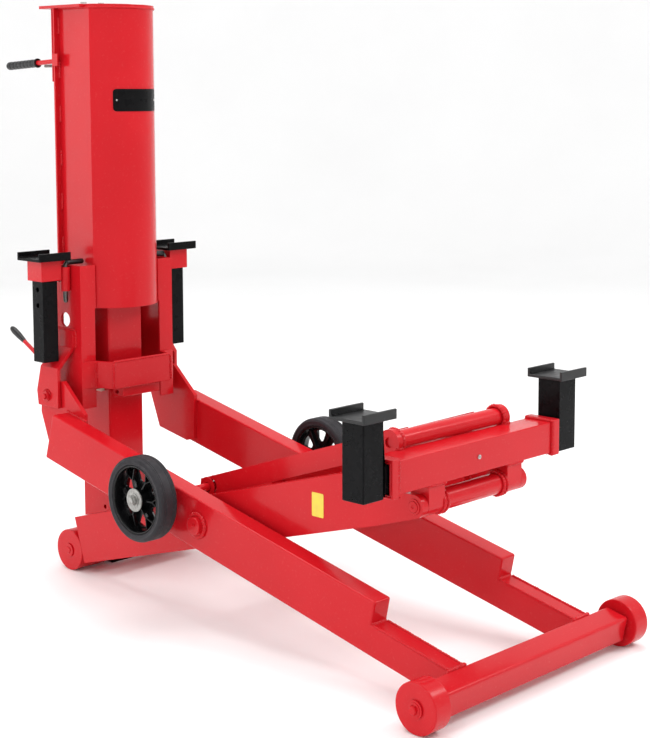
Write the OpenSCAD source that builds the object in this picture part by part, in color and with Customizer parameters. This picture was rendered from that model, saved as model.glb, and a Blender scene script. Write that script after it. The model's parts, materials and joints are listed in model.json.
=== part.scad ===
// Air-operated scissor end-lift jack ("toe jack") for picking up the bumper or frame of a heavy vehicle.
// Axes: +X to the right-hand side, +Y towards the mast, +Z up. Origin: centre of the column's foot, on the floor.
// Two frames cross like scissors at one pivot. The main frame runs from the front rollers up to the
// mast carriage; the lift arms run from the rear rollers up to the lifting head.

/* [Scissor geometry] */
// Slope of the lift arms in this pose, in degrees
arm_slope = 16; // [4:1:30]
// Scissor pivot to front roller axle, along the main frame
pivot_to_front = 1015; // [980:5:1050]
// Scissor pivot to rear roller axle, along the lift arms
pivot_to_rear = 780; // [770:5:800]
// How far each axle lies below its frame's centreline
axle_drop = 27; // [24:1:30]
// Rear axle ahead of the column's centre
axle_ahead = 37; // [35:1:40]
// Scissor pivot to the head's lower pivot, along the lift arms
pivot_to_head = 788; // [770:1:800]
// Head's lower pivot below the arms' centreline
head_drop = 40; // [34:1:44]

/* [Rollers and wheels] */
// Diameter of the steel rollers
roller_d = 135; // [130:1:140]
// Width of a front roller
front_roller_w = 59; // [50:1:62]
// Outer face of a front roller, from the centreline
front_roller_out = 462; // [455:1:480]
// Diameter of the transport wheels
wheel_d = 254; // [240:2:256]
// Tread width of the transport wheels
wheel_w = 66; // [56:2:70]
// Outer face of a transport wheel, from the centreline
wheel_out = 413; // [408:1:420]
// Wheel axle behind the front axle, along the main frame
wheel_u = 1182; // [1170:1:1200]
// Wheel axle above the front axle, square to the main frame
wheel_v = 60; // [60:1:66]

/* [Main frame] */
// Width of a main beam
beam_w = 64; // [56:1:66]
// Height of a main beam
beam_h = 152; // [140:1:156]
// Clear width between the two main beams
beam_gap = 476; // [476:1:480]
// Length of the low front part of a beam
beam_step = 311; // [280:1:330]
// Height of the low front part of a beam
beam_low_h = 86; // [80:1:92]
// Section of the square cross tube at the front
cross_tube = 76; // [70:1:78]

/* [Lift arms] */
// Outer width over the two lift arms
arm_span = 444; // [440:1:448]
// Width of an arm's box section
arm_w = 51; // [44:1:52]
// Height of an arm's box section
arm_h = 152; // [140:1:152]
// Thickness of the end plate that carries the head pivot
arm_end_t = 23; // [18:1:24]

/* [Head] */
// Section of the square head tube
head_tube_s = 89; // [86:1:92]
// Half the length of the head tube, over its collars
head_half = 356; // [345:1:358]
// Section of the square side posts
post_s = 76; // [72:1:76]
// Side post's centre from the centreline
post_x = 411; // [411:1:420]
// Side of the square saddle plate
saddle_s = 122; // [110:1:126]
// Height of the saddle's lips over its underside
saddle_h = 26; // [22:1:28]
// Section of the adapter tubes that slide in the posts
adapter_s = 57; // [54:1:58]

/* [Mast] */
// Width of the column
column_w = 140; // [130:1:142]
// Depth of the column
column_d = 150; // [140:1:150]
// Height of the column
column_h = 1215; // [1190:5:1240]
// Height of the mast's top in this pose
mast_top = 1846; // [1840:1:1860]
// Height of the shroud's lower edge in this pose
shroud_low = 866; // [850:1:880]
// Outer width of the shroud
shroud_w = 260; // [256:1:264]
// Depth of the shroud's flat sides
shroud_flat = 160; // [158:1:166]
// Bulge of the shroud's rounded front
shroud_bulge = 80; // [70:1:85]

/* [Hidden] */
$fn = 64;
fit = 0.05;
roller_r = roller_d / 2;
axle_z = roller_r;

// Scissor closure: both axles stand at the same height.
arm_line = arm_slope + asin(axle_drop / pivot_to_rear);
pivot_rise = pivot_to_rear * sin(arm_line);
frame_line = asin(pivot_rise / pivot_to_front);
frame_slope = frame_line - asin(axle_drop / pivot_to_front);
rear_axle_y = -axle_ahead;
pivot_y = rear_axle_y - pivot_to_rear * cos(arm_line);
pivot_z = axle_z + pivot_rise;
front_axle_y = pivot_y - pivot_to_front * cos(frame_line);

// Places along the arms and the frame, measured from the scissor pivot
arm_rear_u = sqrt(pow(pivot_to_rear, 2) - pow(axle_drop, 2));
front_u = sqrt(pow(pivot_to_front, 2) - pow(axle_drop, 2));
head_pin = [pivot_y - pivot_to_head * cos(arm_slope) - head_drop * sin(arm_slope),
            pivot_z + pivot_to_head * sin(arm_slope) - head_drop * cos(arm_slope)];
link_pin = head_pin + [75, 162];
tube_mid = head_pin + [6, 102];
link_root_at = [133, 39];
link_root = [pivot_y + link_root_at[0] * cos(frame_slope) - link_root_at[1] * sin(frame_slope),
             pivot_z + link_root_at[0] * sin(frame_slope) + link_root_at[1] * cos(frame_slope)];
link_run = link_root - link_pin;
link_len = norm(link_run);
link_slope = -atan2(link_run[1], link_run[0]);

beam_in = beam_gap / 2;
beam_out = beam_in + beam_w;
beam_top = beam_h / 2;
beam_low = -beam_h / 2;
arm_out = arm_span / 2;
arm_in = arm_out - arm_w;
arm_box_front = -634;
arm_box_rear = arm_rear_u - 76;

axle_r = 16;
pivot_r = 19;
head_pin_r = 16;
link_pin_r = 14;
link_shaft_r = 13;
wheel_axle_r = 15;
spindle_r = 12;
beam_rear = 744;
cross_half = 399;
boss_r = 32;
ear_pin = [18, 580];
ear_pin_r = 12.7;
lug_t = 14;
lug_in = beam_in - lug_t;
ear_in = beam_in + 2;
ear_t = 12;

channel_in = shroud_w / 2 + 5;
channel_w = 56;
channel_out = channel_in + channel_w;
channel_front = -90;
channel_rear = 12;
channel_low = 540;
channel_top = 1008;
back_y = shroud_flat / 2;
back_t = 8;
sheet_t = 5;
front_y = -shroud_flat / 2 - shroud_bulge;

barrel_r = 57;
barrel_low = 285;
barrel_top = 1195;
rod_r = 20;
piston_z = 716;
piston_t = 30;
rod_top = 1790;
inlet_r = 6;
pad_t = 14;
slot_r = 22;
slot_run = 16;
lock_tilt = 62;
bolt_x = [-104, -34];
top_rear = 156;
stop_y = 147;

store_x = 265;
store_y = 0;
store_z = 1028;
collar_s = 78;
holder_x = 207;
holder_y = -26;
pin_hole_r = 8.5;

lever_root = [-117, 101, 1668];
lock_root = [-158, 108, 634];

paint = "#cd1c26";
black = "#161618";
steel = "#b4b4b2";
rubber = "#2c2b2e";

// A box given by its two corners
module slab(low, high) {
    translate(low)
        cube(high - low);
}

// A plate standing along X, from a Y-Z outline
module plate(x0, x1) {
    translate([x0, 0, 0])
        rotate([90, 0, 90])
            linear_extrude(x1 - x0)
                children();
}

// A round bar along X at a Y-Z place
module bar(yz, r, x0, x1) {
    translate([x0, yz[0], yz[1]])
        rotate([0, 90, 0])
            cylinder(r = r, h = x1 - x0);
}

// The same thing on both sides of the centreline
module both() {
    children();
    mirror([1, 0, 0])
        children();
}

// Frames of reference that sit on the scissor pivot
module on_frame() {
    translate([0, pivot_y, pivot_z])
        rotate([frame_slope, 0, 0])
            children();
}

module on_arms() {
    translate([0, pivot_y, pivot_z])
        rotate([-arm_slope, 0, 0])
            children();
}

// A square tube along Z, open at both ends
module square_tube(s, wall, h) {
    translate([0, 0, h / 2])
        difference() {
            cube([s, s, h], center = true);
            cube([s - 2 * wall, s - 2 * wall, h + 2], center = true);
        }
}

// ---------------------------------------------------------------- column

module column_post() {
    wall = 10;
    color(paint)
        difference() {
            slab([-column_w / 2, -column_d / 2, 14], [column_w / 2, column_d / 2, column_h]);
            slab([-column_w / 2 + wall, -column_d / 2 + wall, 110],
                 [column_w / 2 - wall, column_d / 2 - wall, column_h + 1]);
            bar([rear_axle_y, axle_z], axle_r, -column_w, column_w);
            bar([-40, 185], 7, -column_w, -column_w / 2 + wall + 1);
            translate([0, column_d / 2 - wall - 1, barrel_low + 32])
                rotate([-90, 0, 0])
                    cylinder(r = inlet_r, h = wall + 2);
        }
}

module column_foot() {
    color(black)
        slab([-column_w / 2 - 4, -column_d / 2 - 4, 0], [column_w / 2 + 4, column_d / 2 + 4, 14]);
}

module rear_axle() {
    color(paint) {
        bar([rear_axle_y, axle_z], axle_r, -arm_out + 4, arm_out - 4);
        both()
            bar([rear_axle_y, axle_z], 22, arm_out - 4.5, arm_out - 1);
    }
}

module cylinder_barrel() {
    floor_t = 20;
    color(steel) {
        translate([0, 0, barrel_low])
            difference() {
                cylinder(r = barrel_r, h = barrel_top - barrel_low);
                translate([0, 0, floor_t])
                    cylinder(r = barrel_r - 6, h = barrel_top);
                translate([0, barrel_r - 8, floor_t + 12])
                    rotate([-90, 0, 0])
                        cylinder(r = inlet_r, h = 10);
            }
        translate([0, 0, barrel_top])
            difference() {
                cylinder(r = barrel_r, h = 18);
                translate([0, 0, -1])
                    cylinder(r = rod_r + 0.3, h = 20);
            }
        slab([-column_w / 2 + 10, -column_d / 2 + 10, barrel_low - 12],
             [column_w / 2 - 10, column_d / 2 - 10, barrel_low]);
    }
}

// Threaded air socket on the back of the column
module air_inlet() {
    color(steel)
        translate([0, column_d / 2 - 18, barrel_low + 32])
            rotate([-90, 0, 0])
                difference() {
                    union() {
                        translate([0, 0, -5])
                            cylinder(r = inlet_r - fit, h = 24);
                        translate([0, 0, 18])
                            cylinder(r = 16, h = 6);
                        translate([0, 0, 24])
                            cylinder(r = 12, h = 16, $fn = 6);
                    }
                    translate([0, 0, -6])
                        cylinder(r = 4, h = 30);
                    translate([0, 0, 22])
                        cylinder(r = 5.7, h = 19);
                }
}

// ---------------------------------------------------------------- mast

// Outline of the shroud: flat sides and back, rounded front
module shroud_outline(inset) {
    half = shroud_w / 2;
    arc_r = (half * half + shroud_bulge * shroud_bulge) / (2 * shroud_bulge);
    arc_y = -shroud_flat / 2 - shroud_bulge + arc_r;
    intersection() {
        translate([-half + inset, front_y])
            square([shroud_w - 2 * inset, shroud_flat + shroud_bulge]);
        union() {
            translate([0, arc_y])
                circle(r = arc_r - inset, $fn = 128);
            translate([-half, -shroud_flat / 2])
                square([shroud_w, shroud_flat]);
        }
    }
}

module mast_shroud() {
    color(paint)
        translate([0, 0, shroud_low])
            linear_extrude(mast_top - 10 - shroud_low)
                difference() {
                    shroud_outline(0);
                    shroud_outline(sheet_t);
                    translate([-shroud_w / 2 + sheet_t, 0])
                        square([shroud_w - 2 * sheet_t, shroud_flat]);
                }
}

module mast_back_plate() {
    color(paint) {
        difference() {
            slab([-149, back_y, channel_low + 60], [149, back_y + back_t, mast_top - 10]);
            slab([-60, back_y - 1, channel_low], [60, back_y + back_t + 1, channel_low + 200]);
            slab([-134, back_y - 1, 782], [134, back_y + back_t + 1, shroud_low - 2]);
        }
        difference() {
            slab([-149, back_y + back_t, lock_root[2] - 18], [-143, lock_root[1] + 14, lock_root[2] + 18]);
            bar([lock_root[1], lock_root[2]], 6, -150, -142);
        }
    }
}

module mast_top_plate() {
    color(paint)
        translate([0, 0, mast_top - 10])
            linear_extrude(10)
                difference() {
                    union() {
                        shroud_outline(-2);
                        translate([-152, -shroud_flat / 2 + 20])
                            square([304, top_rear + shroud_flat / 2 - 20]);
                    }
                    for (x = bolt_x)
                        translate([x, -20])
                            circle(r = 6);
                }
}

// Side channels of the carriage, the left one with a sight hole
module side_channels() {
    color(paint)
        difference() {
            both()
                side_channel();
            bar([-6, 828], 24, -channel_out - 1, -channel_in);
        }
}

module side_channel() {
    wall = 8;
    difference() {
        slab([channel_in, channel_front, channel_low], [channel_out, channel_rear, channel_top]);
        slab([channel_in - 1, channel_front + wall, channel_low - 1],
             [channel_out - wall, channel_rear + 1, channel_top + 1]);
        bar(ear_pin, ear_pin_r, channel_in, channel_out + 10);
    }
    // Fin and flange that reach back to the back plate
    slab([channel_out - wall, channel_rear, channel_low + 60], [channel_out, back_y, channel_top - 60]);
    slab([shroud_w / 2 + 19, back_y, channel_low + 60],
         [channel_out, back_y + back_t, channel_top - 60]);
    // Strip against the shroud, and the seat of the lower guide pad
    slab([shroud_w / 2, channel_front, shroud_low], [channel_in + 2, channel_front + 20, channel_top]);
    slab([column_w / 2 + pad_t + 1, -50, channel_low + 50], [channel_out - wall, -38, channel_low + 120]);
}

// Bulged plate that ties the channels together ahead of the column
module crossmember() {
    t = 10;
    z0 = 606;
    z1 = 695;
    outer = [[-channel_out, channel_front], [-channel_in - 6, channel_front - 10], [-119, front_y - 5],
             [119, front_y - 5], [channel_in + 6, channel_front - 10], [channel_out, channel_front]];
    inner = [[channel_in + 6, channel_front], [channel_in - 4, channel_front - 4],
             [119 - t / 2, front_y - 5 + t], [-119 + t / 2, front_y - 5 + t],
             [-channel_in + 4, channel_front - 4], [-channel_in - 6, channel_front]];
    color(paint)
        translate([0, 0, z0])
            linear_extrude(z1 - z0)
                polygon(concat(outer, inner));
}

// Block under the crossmember that houses the safety latch
module latch_block() {
    z0 = 572;
    z1 = 606;
    y = front_y + 14;
    color(paint)
        difference() {
            translate([0, 0, z0])
                linear_extrude(z1 - z0)
                    polygon([[-88, y + 30], [-70, y], [84, y], [84, y + 30]]);
            bar([y + 18, 588], 6, -100, -60);
        }
}

// Cranked ear plates that carry the carriage on the main frame
module ear_plates() {
    top = 796;
    color(paint)
        both() {
            difference() {
                union() {
                    plate(ear_in, ear_in + ear_t)
                        polygon([[-40, 676], [-40, 545], [68, 545], [75, 592], [52, 676]]);
                    hull() {
                        slab([ear_in, -40, 670], [ear_in + ear_t, 52, 676]);
                        slab([channel_out, -52, 734], [channel_out + ear_t, 34, 740]);
                    }
                    slab([channel_out, -60, 740], [channel_out + ear_t, 34, top]);
                }
                bar(ear_pin, ear_pin_r, ear_in - 1, ear_in + ear_t + 1);
            }
        }
}

module ear_pins() {
    color(paint)
        both() {
            bar(ear_pin, ear_pin_r, channel_out - 14, ear_in + ear_t + 4);
            bar(ear_pin, 17, ear_in + ear_t, ear_in + ear_t + 7);
        }
}

// Collars beside the mast that hold the spare adapters, with a tube for each pin
module storage_collars() {
    color(paint)
        both() {
            translate([store_x, store_y, store_z - 66])
                square_tube(collar_s, (collar_s - adapter_s) / 2 - 0.6, 65.7);
            slab([channel_out, holder_y + 4, store_z - 66], [store_x - collar_s / 2 + 1, 26, store_z - 24]);
            translate([holder_x, holder_y - 6, store_z - 102])
                difference() {
                    cylinder(r = 15.8, h = 78);
                    translate([0, 0, -1])
                        cylinder(r = 8.3, h = 80);
                }
        }
}

// Nylon pads that guide the carriage sideways on the column
module guide_pads() {
    color("ivory")
        both() {
            slab([column_w / 2 + 1, -50, channel_low + 40], [column_w / 2 + 1 + pad_t, 10, channel_low + 130]);
            slab([column_w / 2 + 1, -50, channel_top - 120],
                 [shroud_w / 2 - sheet_t, 10, channel_top - 30]);
        }
}

module cylinder_rod() {
    color(steel) {
        translate([0, 0, piston_z - piston_t])
            cylinder(r = 12, h = piston_t);
        translate([0, 0, piston_z])
            cylinder(r = rod_r, h = rod_top - piston_z);
        translate([0, 0, rod_top])
            cylinder(r = 32, h = 16);
    }
}

module piston() {
    color("dimgray")
        translate([0, 0, piston_z - piston_t])
            difference() {
                cylinder(r = barrel_r - 6.1, h = piston_t);
                translate([0, 0, -1])
                    cylinder(r = 12, h = piston_t + 2);
                translate([0, 0, 11])
                    difference() {
                        cylinder(r = barrel_r, h = 8);
                        translate([0, 0, -1])
                            cylinder(r = barrel_r - 12, h = 10);
                    }
            }
}

module piston_seal() {
    color("black")
        translate([0, 0, piston_z - 19])
            difference() {
                cylinder(r = barrel_r - 6.05, h = 8);
                translate([0, 0, -1])
                    cylinder(r = barrel_r - 12, h = 10);
            }
}

module top_bolts() {
    color(black)
        for (x = bolt_x) {
            translate([x, -20, mast_top])
                cylinder(r = 11, h = 9, $fn = 6);
            translate([x, -20, mast_top - 16])
                cylinder(r = 6, h = 16);
        }
}

// Bar that hangs behind the mast and stops the lever, with the lever's bracket and its outer tab
module stop_bar() {
    color(paint) {
        slab([-108, stop_y, 1600], [-94, stop_y + 6, mast_top - 10]);
        slab([-155, 58, 1650], [-149, back_y + back_t, 1690]);
        difference() {
            slab([-133, back_y + back_t, 1652], [-127, 113, 1684]);
            bar([lever_root[1], lever_root[2]], 5, -134, -126);
        }
    }
}

// Coil spring that brings the lever back, as a plain sleeve
module return_spring() {
    color(steel)
        translate([-101, stop_y + 6, 1652])
            rotate([-90, 0, 0])
                difference() {
                    cylinder(r = 5, h = 48);
                    translate([0, 0, -1])
                        cylinder(r = 3.4, h = 50);
                }
}

// ---------------------------------------------------------------- levers

module lever_rod() {
    color(paint) {
        bar([lever_root[1], lever_root[2]], 5 - fit, -133.5, -112);
        translate(lever_root)
            rotate([-93, 0, 0])
                cylinder(r = 8, h = 224);
        bar([lever_root[1], lever_root[2]], 11, -126, -109);
    }
}

module lever_grip() {
    color(black)
        translate(lever_root)
            rotate([-93, 0, 0])
                translate([0, 0, 116])
                    difference() {
                        union() {
                            cylinder(r = 14, h = 162);
                            translate([0, 0, 162])
                                cylinder(r1 = 14, r2 = 9, h = 7);
                        }
                        translate([0, 0, -1])
                            cylinder(r = 8, h = 109);
                    }
}

module lock_lever() {
    color(paint) {
        translate(lock_root)
            rotate([-lock_tilt, 0, 0])
                cylinder(r = 7, h = 205);
        bar([lock_root[1], lock_root[2]], 12, lock_root[0] - 8, lock_root[0] + 8);
        bar([lock_root[1], lock_root[2]], 6 - fit, lock_root[0] + 7, lock_root[0] + 16);
    }
    color(black)
        translate(lock_root)
            rotate([-lock_tilt, 0, 0]) {
                translate([0, 0, 195])
                    cylinder(r = 11, h = 68);
                translate([0, 0, 263])
                    sphere(r = 11);
            }
}

// ---------------------------------------------------------------- main frame

// Side outline of a main beam, from the scissor pivot
module beam_outline() {
    front = -front_u + cross_tube / 2;
    rear = beam_rear;
    polygon([[front, beam_low], [rear + 2, beam_low], [rear - 9, beam_top], [-front_u + beam_step, beam_top],
             [-front_u + beam_step, beam_low + beam_low_h], [front, beam_low + beam_low_h]]);
}

module main_beam() {
    wall = 6;
    color(paint)
        on_frame()
            difference() {
                plate(beam_in, beam_out)
                    beam_outline();
                // Hollow box section ahead of the pivot and behind the wheel axle
                plate(beam_in + wall, beam_out - wall) {
                    translate([-front_u + beam_step + wall, beam_low + wall])
                        square([front_u - beam_step - wall - 60, beam_h - 2 * wall]);
                    translate([-front_u + cross_tube / 2 + wall, beam_low + wall])
                        square([beam_step - cross_tube / 2, beam_low_h - 2 * wall]);
                    translate([210, beam_low + wall])
                        square([515, beam_h - 2 * wall]);
                }
                bar([0, 0], pivot_r, beam_in - 1, beam_out + 1);
                bar([wheel_u - front_u, wheel_v - axle_drop], wheel_axle_r, beam_in + 30, beam_out + 1);
                bar(link_root_at, link_shaft_r, beam_in - 1, beam_in + 30);
            }
}

module front_cross_tube() {
    s = cross_tube;
    color(paint)
        on_frame()
            translate([0, -front_u, -axle_drop])
                difference() {
                    slab([-cross_half, -s / 2, -s / 2], [cross_half, s / 2, s / 2]);
                    slab([-cross_half + 19, -s / 2 + 8, -s / 2 + 8], [cross_half - 19, s / 2 - 8, s / 2 - 8]);
                    both()
                        bar([0, 0], axle_r, cross_half - 29, cross_half + 1);
                }
}

// Lug plates welded to the beams' inner faces, pinned to the carriage ears
module frame_lugs() {
    color(paint)
        both()
            plate(lug_in, beam_in)
                difference() {
                    union() {
                        polygon([[-155, 386], [-118, 376], [26, 404], [72, 520], [66, 600], [18, 628],
                                 [-50, 634], [-160, 538]]);
                        translate(ear_pin)
                            circle(r = 48);
                    }
                    translate(ear_pin)
                        circle(r = ear_pin_r + fit);
                }
}

module front_axles() {
    color(paint)
        both()
            on_frame()
                translate([0, -front_u, -axle_drop]) {
                    bar([0, 0], axle_r, cross_half - 27, front_roller_out + 1);
                    bar([0, 0], 24, front_roller_out + 1, front_roller_out + 5);
                    bar([0, 0], 9, front_roller_out + 5, front_roller_out + 12);
                }
}

module pivot_shaft() {
    color(paint) {
        bar([pivot_y, pivot_z], pivot_r, -beam_out - 6, beam_out + 6);
        both()
            difference() {
                bar([pivot_y, pivot_z], 29, beam_out, beam_out + 10);
                bar([pivot_y, pivot_z], pivot_r, beam_out - 1, beam_out + 11);
            }
    }
}

module link_shaft() {
    color(paint)
        bar(link_root, link_shaft_r, -beam_in - 20, beam_in + 20);
}

module wheel_axles() {
    color(steel)
        both()
            at_wheel() {
                bar([0, 0], wheel_axle_r, beam_in + 30, beam_out + 8);
                bar([0, 0], 22, beam_out, beam_out + 36);
                bar([0, 0], spindle_r, beam_out + 8, wheel_out + 9);
            }
}

module wheel_nuts() {
    color(steel)
        both()
            at_wheel()
                difference() {
                    union() {
                        bar([0, 0], 35, wheel_out - 6, wheel_out - 2.5);
                        translate([wheel_out - 2.5, 0, 0])
                            rotate([0, 90, 0])
                                cylinder(r = 16, h = 9, $fn = 6);
                    }
                    bar([0, 0], spindle_r, wheel_out - 8, wheel_out + 12);
                }
}

// ---------------------------------------------------------------- lift arms

module lift_arm() {
    front = arm_box_front;
    tip = [-pivot_to_head, -head_drop];
    wall = 6;
    color(paint)
        on_arms()
            difference() {
                union() {
                    plate(arm_in, arm_out)
                        polygon([[front, -arm_h / 2], [arm_box_rear, -arm_h / 2],
                                 [arm_box_rear + 6, arm_h / 2], [front, arm_h / 2]]);
                    plate(arm_out - arm_end_t, arm_out)
                        hull() {
                            translate(tip)
                                circle(r = boss_r);
                            translate([front - 1, -arm_h / 2])
                                square([2, arm_h - 40]);
                        }
                }
                // Hollow box section ahead of the pivot and behind the notch
                plate(arm_in + wall, arm_out - wall) {
                    translate([front + 8, -arm_h / 2 + wall])
                        square([-front - 68, arm_h - 2 * wall]);
                    translate([190, -arm_h / 2 + wall])
                        square([arm_box_rear - 198, arm_h - 2 * wall]);
                }
                bar([0, 0], pivot_r + fit, arm_in - 1, arm_out + 1);
                bar(tip, head_pin_r + fit, arm_in - 1, arm_out + 1);
                // Notch that lets the arm swing past the leveling link's shaft
                plate(arm_in - 1, arm_out + 1)
                    difference() {
                        translate([64, 8])
                            square([110, arm_h]);
                        circle(r = 118, $fn = 128);
                    }
            }
}

module arm_cross_tube() {
    color(paint)
        on_arms()
            difference() {
                slab([-arm_in, arm_box_rear - 90, -60], [arm_in, arm_box_rear - 14, 16]);
                slab([-arm_in + 1, arm_box_rear - 82, -52], [arm_in - 1, arm_box_rear - 22, 8]);
            }
}

// Plates that join the arms' rear cross tube to the rear axle
module axle_lugs() {
    color(paint)
        both()
            on_arms()
                plate(column_w / 2 + 7, column_w / 2 + 25)
                    difference() {
                        hull() {
                            translate([arm_rear_u, -axle_drop])
                                circle(r = 34);
                            translate([arm_box_rear - 14, -56])
                                square([1, 64]);
                        }
                        translate([arm_rear_u, -axle_drop])
                            circle(r = axle_r + fit);
                    }
}

// ---------------------------------------------------------------- head

module head_tube() {
    s = head_tube_s;
    wall = 6;
    color(paint)
        translate([0, tube_mid[0], tube_mid[1]])
            difference() {
                slab([-head_half, -s / 2, -s / 2], [head_half, s / 2, s / 2]);
                slab([-head_half - 1, -s / 2 + wall, -s / 2 + wall],
                     [head_half + 1, s / 2 - wall, s / 2 - wall]);
                rotate([90, 0, 0])
                    cylinder(r = 6, h = s);
            }
}

module head_collars() {
    s = head_tube_s;
    lip = 7;
    color(paint)
        both()
            translate([0, tube_mid[0], tube_mid[1]])
                difference() {
                    slab([head_half - 26, -s / 2 - lip, -s / 2 - lip], [head_half, s / 2 + lip, s / 2 + lip]);
                    slab([head_half - 27, -s / 2, -s / 2], [head_half + 1, s / 2, s / 2]);
                }
}

// Lower lugs for the arms' pivot, and upper bosses for the leveling link
module head_lugs() {
    under = tube_mid[1] - head_tube_s / 2;
    color(paint)
        both() {
            difference() {
                union() {
                    slab([134, head_pin[0] - boss_r, head_pin[1]], [198, head_pin[0] + boss_r, under]);
                    bar(head_pin, boss_r, 134, 198);
                    bar(head_pin, boss_r + 1, 118, 134);
                }
                bar(head_pin, head_pin_r, 100, 220);
            }
            difference() {
                bar(link_pin, 35, 212, 236);
                bar(link_pin, link_pin_r, 200, 240);
                slab([200, tube_mid[0] - 60, under],
                     [240, tube_mid[0] + head_tube_s / 2, tube_mid[1] + head_tube_s / 2]);
            }
        }
}

module head_pins() {
    color(paint) {
        bar(head_pin, head_pin_r, -arm_out - 2, arm_out + 2);
        bar(head_pin, 30, -118, 118);
        bar(link_pin, link_pin_r, -230, 230);
    }
}

// Screw that holds the side arms where they are set
module set_screw() {
    color(steel)
        translate([0, tube_mid[0] - head_tube_s / 2 - 3, tube_mid[1]])
            rotate([-90, 0, 0])
                difference() {
                    cylinder(r = 6 - fit, h = 9);
                    translate([0, 0, -1])
                        cylinder(r = 3, h = 4, $fn = 6);
                }
}

// ---------------------------------------------------------------- leveling link

module link_tube() {
    color(paint)
        difference() {
            bar(link_pin, 27, -211.5, 211.5);
            bar(link_pin, link_pin_r + fit, -212, 212);
        }
}

module link_bars() {
    h = 30;
    color(paint)
        both()
            translate([0, link_pin[0], link_pin[1]])
                rotate([-link_slope, 0, 0])
                    plate(128, 152)
                        difference() {
                            polygon([[20, -h], [link_len + 28, -h], [link_len + 44, -10],
                                     [link_len + 26, h], [20, h]]);
                            circle(r = 27);
                            // Slotted hole over the link shaft
                            translate([link_len - slot_run, 0])
                                circle(r = slot_r);
                            translate([link_len, 0])
                                circle(r = slot_r);
                            translate([link_len - slot_run, -slot_r])
                                square([slot_run, 2 * slot_r]);
                        }
}

// ---------------------------------------------------------------- rollers and wheels

module roller(yz, x0, x1) {
    color(paint)
        difference() {
            union() {
                bar(yz, roller_r - 2, x0, x1);
                bar(yz, roller_r, x0 + 2, x1 - 2);
            }
            bar(yz, axle_r + fit, x0 - 1, x1 + 1);
        }
}

module front_roller() {
    roller([front_axle_y, axle_z], front_roller_out - front_roller_w, front_roller_out);
}

module rear_roller() {
    roller([rear_axle_y, axle_z], column_w / 2 + 28, arm_out - 5);
}

module at_wheel() {
    on_frame()
        translate([0, wheel_u - front_u, wheel_v - axle_drop])
            children();
}

// Tyre as a lathe-turned ring with rounded shoulders and two fine grooves
module tyre() {
    r = wheel_d / 2;
    rim_r = 103;
    w = wheel_w;
    color(rubber)
        at_wheel()
            translate([wheel_out - w, 0, 0])
                rotate([0, 90, 0])
                    rotate_extrude($fn = 96)
                        difference() {
                            polygon([[rim_r, 4], [r - 12, 0], [r - 4, 3], [r, 11], [r, w - 11], [r - 4, w - 3],
                                     [r - 12, w], [rim_r, w - 4]]);
                            for (z = [14, w - 14])
                                translate([r - 2, z - 1.2])
                                    square([3, 2.4]);
                        }
}

// Rim with a deep dish, hub and ribbed spokes
module rim() {
    rim_r = 103;
    w = wheel_w;
    color(black)
        at_wheel()
            translate([wheel_out - w, 0, 0])
                rotate([0, 90, 0]) {
                    difference() {
                        union() {
                            difference() {
                                translate([0, 0, 5])
                                    cylinder(r = rim_r, h = w - 10);
                                translate([0, 0, 4])
                                    cylinder(r = rim_r - 9, h = w);
                            }
                            translate([0, 0, 6])
                                cylinder(r = 30, h = w - 12.5);
                            for (a = [0:60:300])
                                rotate(a) {
                                    translate([24, -5, 14])
                                        cube([rim_r - 30, 10, w - 30]);
                                    translate([24, -13, 26])
                                        cube([rim_r - 30, 26, 8]);
                                }
                        }
                        translate([0, 0, -1])
                            cylinder(r = spindle_r + fit, h = w + 2);
                    }
                }
}

// ---------------------------------------------------------------- side arms and saddles

// Square post on a stub that slides in the head tube
module side_arm() {
    low = tube_mid[1] - 49;
    post_h = 209;
    stub = 75;
    color(black) {
        translate([post_x, tube_mid[0], low])
            difference() {
                square_tube(post_s, (post_s - adapter_s) / 2 - 0.6, post_h);
                // Pin holes in the wall that faces the mast
                for (z = [40, 100, 160])
                    translate([0, 0, z])
                        rotate([-90, 0, 0])
                            cylinder(r = pin_hole_r, h = post_s);
            }
        translate([0, tube_mid[0], tube_mid[1]])
            difference() {
                slab([150, -stub / 2, -stub / 2], [post_x - post_s / 2, stub / 2, stub / 2]);
                slab([149, -stub / 2 + 8, -stub / 2 + 8], [post_x - post_s / 2 - 8, stub / 2 - 8, stub / 2 - 8]);
            }
    }
}

// Saddle plate with two lips, on a square tube with pin holes
module adapter(x, y, z, len, holes, turn) {
    s = saddle_s;
    color(black)
        translate([x, y, z]) {
            slab([-s / 2, -s / 2, 0], [s / 2, s / 2, 9]);
            for (side = [-1, 1])
                translate([0, side * (s / 2 - 4), saddle_h / 2])
                    cube([s, 8, saddle_h], center = true);
            translate([0, 0, -len])
                difference() {
                    square_tube(adapter_s, 5, len);
                    for (h = holes)
                        translate([0, 0, h])
                            rotate([0, 90, turn])
                                cylinder(r = pin_hole_r, h = 2 * adapter_s, center = true);
                }
        }
}

module front_saddle() {
    adapter(post_x, tube_mid[0], tube_mid[1] + 160, 150, [30], 90);
}

module stored_adapter() {
    adapter(store_x, store_y, store_z, 330, [185, 236], 0);
}

// Bent retaining pin with a black grip, parked in its tube
module parked_pin() {
    y = holder_y - 6;
    bend_z = store_z - 10;
    color(steel) {
        translate([holder_x, y, bend_z - 122])
            cylinder(r = 8, h = 122);
        translate([holder_x, y, bend_z - 130])
            cylinder(r1 = 5, r2 = 8, h = 8);
        translate([holder_x, y, bend_z])
            sphere(r = 8);
        bar([y, bend_z], 6, holder_x - 30, holder_x);
    }
    color(black)
        bar([y, bend_z], 9, holder_x - 70, holder_x - 16);
}

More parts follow.
